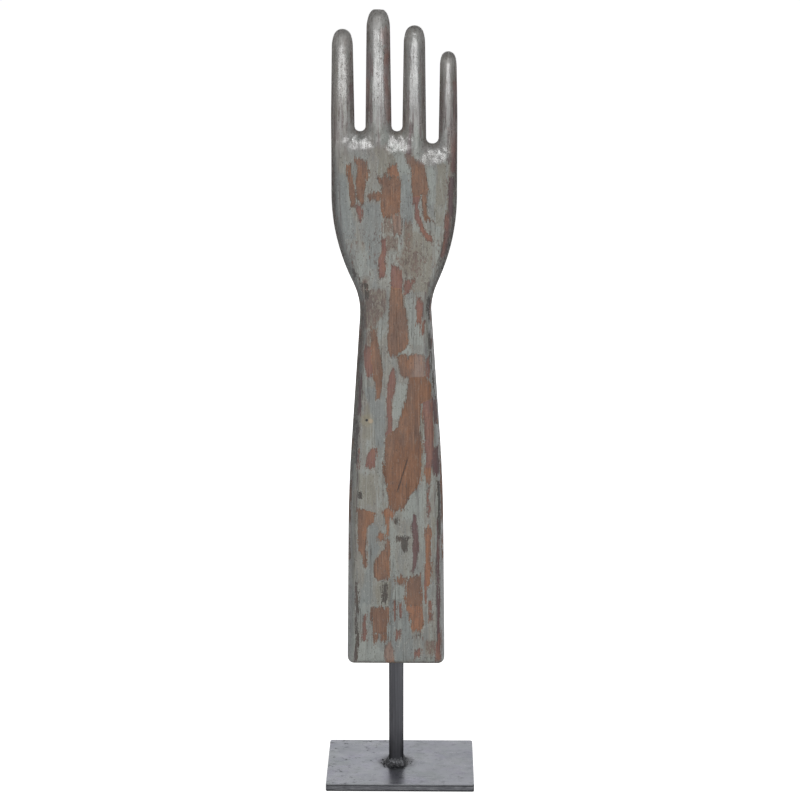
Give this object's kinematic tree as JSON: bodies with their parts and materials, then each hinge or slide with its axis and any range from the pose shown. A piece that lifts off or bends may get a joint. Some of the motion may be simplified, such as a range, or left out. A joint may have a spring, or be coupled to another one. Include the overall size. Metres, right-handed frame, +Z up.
{
  "type": "wooden hand mannequin",
  "caption": "Carved wooden hand and forearm with upright fingers, pushed on a square steel bar that is welded to a flat base plate; for showing gloves or rings.",
  "frame": {"origin": "middle of the base plate's underside", "axes": "+Z up along the bar and the fingers, +X to the right of a viewer in front, -Y towards that viewer"},
  "size_m": [0.102, 0.076, 0.5285],
  "materials": {
    "painted_wood": "satin",
    "dark_steel": "satin",
    "plate_steel": "satin",
    "weld_steel": "matte"
  },
  "bodies": {
    "stand": {"base_plate": "plate_steel", "weld_bead": "weld_steel", "post": "dark_steel"},
    "hand": {"hand_form": "painted_wood"}
  },
  "joints": [
    {"name": "hand_lift", "type": "slide", "parent": "stand", "child": "hand", "axis": [0, 0, 1], "range_m": [0, 0.065]}
  ]
}
